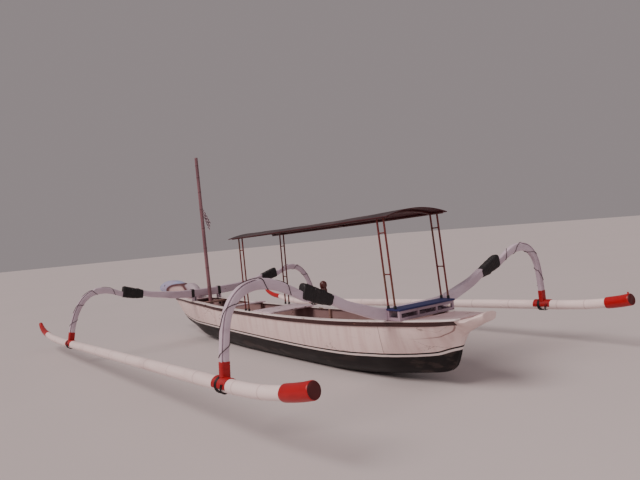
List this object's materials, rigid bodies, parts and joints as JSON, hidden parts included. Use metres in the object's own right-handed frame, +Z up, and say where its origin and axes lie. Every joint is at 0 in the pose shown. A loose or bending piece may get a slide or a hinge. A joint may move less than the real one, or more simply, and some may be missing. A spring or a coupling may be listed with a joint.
{
  "type": "outrigger canoe",
  "caption": "Double-outrigger canoe with a dugout hull, plank sides, carved bow head, arched arms on bamboo floats, a bench, a flat-arched roof on ladder posts and a short mast.",
  "frame": {"origin": "on the flat underside of the keel, on the centreline, halfway between the two cross beams", "axes": "+X to the bow, +Y to port, +Z up"},
  "size_m": [9.0036, 5.073, 3.3659],
  "materials": {
    "white_paint": "gloss marine paint over timber, weathered",
    "bottom_paint": "matt black bottom paint over timber",
    "brown_paint": "dark brown painted timber",
    "red_paint": "red gloss paint",
    "red_binding": "red rubber strip, wrapped",
    "binding_rubber": "black inner tube strip, wrapped",
    "bare_wood": "worn bare and cream painted timber",
    "bench_board": "navy painted board",
    "roof_sheet": "weathered dark roofing sheet",
    "roof_timber": "stained timber",
    "rusty_tube": "rusted steel tube",
    "mast_pole": "varnished bamboo",
    "flag_cloth": "thin cotton",
    "head_paint": "pale blue and white paint over carved timber"
  },
  "bodies": {
    "root": {"dugout": "bottom_paint", "stern_block": "white_paint", "stem_block": "white_paint", "side_plank_port": "white_paint", "side_plank_starboard": "white_paint", "rubrail_port": "brown_paint", "rubrail_starboard": "brown_paint", "gunwale_cap_port": "white_paint", "gunwale_cap_starboard": "white_paint", "aft_deck": "white_paint", "fore_deck": "white_paint", "cross_beam_aft": "white_paint", "cross_beam_front": "white_paint", "floor_boards": "bare_wood", "mast_step": "bare_wood", "mast_thwart": "bare_wood", "deck_board_1": "white_paint", "deck_board_2": "white_paint", "deck_board_3": "white_paint", "bench_frame": "white_paint", "bench_top": "bench_board", "roof_sheet": "roof_sheet", "roof_rail_port": "roof_timber", "roof_rail_starboard": "roof_timber", "roof_rib_rear": "roof_timber", "roof_rib_middle": "roof_timber", "roof_rib_front": "roof_timber", "mast": "mast_pole", "flag": "flag_cloth", "bow_head": "head_paint", "tie_knob": "brown_paint", "hull_frame_1": "bare_wood", "hull_frame_2": "bare_wood", "hull_frame_3": "bare_wood", "arm_aft_port": "white_paint", "beam_lashing_aft_port": "binding_rubber", "foot_binding_aft_port": "red_binding", "arm_aft_starboard": "white_paint", "beam_lashing_aft_starboard": "binding_rubber", "foot_binding_aft_starboard": "red_binding", "arm_front_port": "white_paint", "beam_lashing_front_port": "binding_rubber", "foot_binding_front_port": "red_binding", "arm_front_starboard": "white_paint", "beam_lashing_front_starboard": "binding_rubber", "foot_binding_front_starboard": "red_binding", "float_port": "white_paint", "float_cap_rear_port": "red_paint", "float_tip_front_port": "red_paint", "float_starboard": "white_paint", "float_cap_rear_starboard": "red_paint", "float_tip_front_starboard": "red_paint", "ladder_post_rear_port": "rusty_tube", "ladder_post_rear_starboard": "rusty_tube", "ladder_post_front_port": "rusty_tube", "ladder_post_front_starboard": "rusty_tube"}
  },
  "joints": []
}
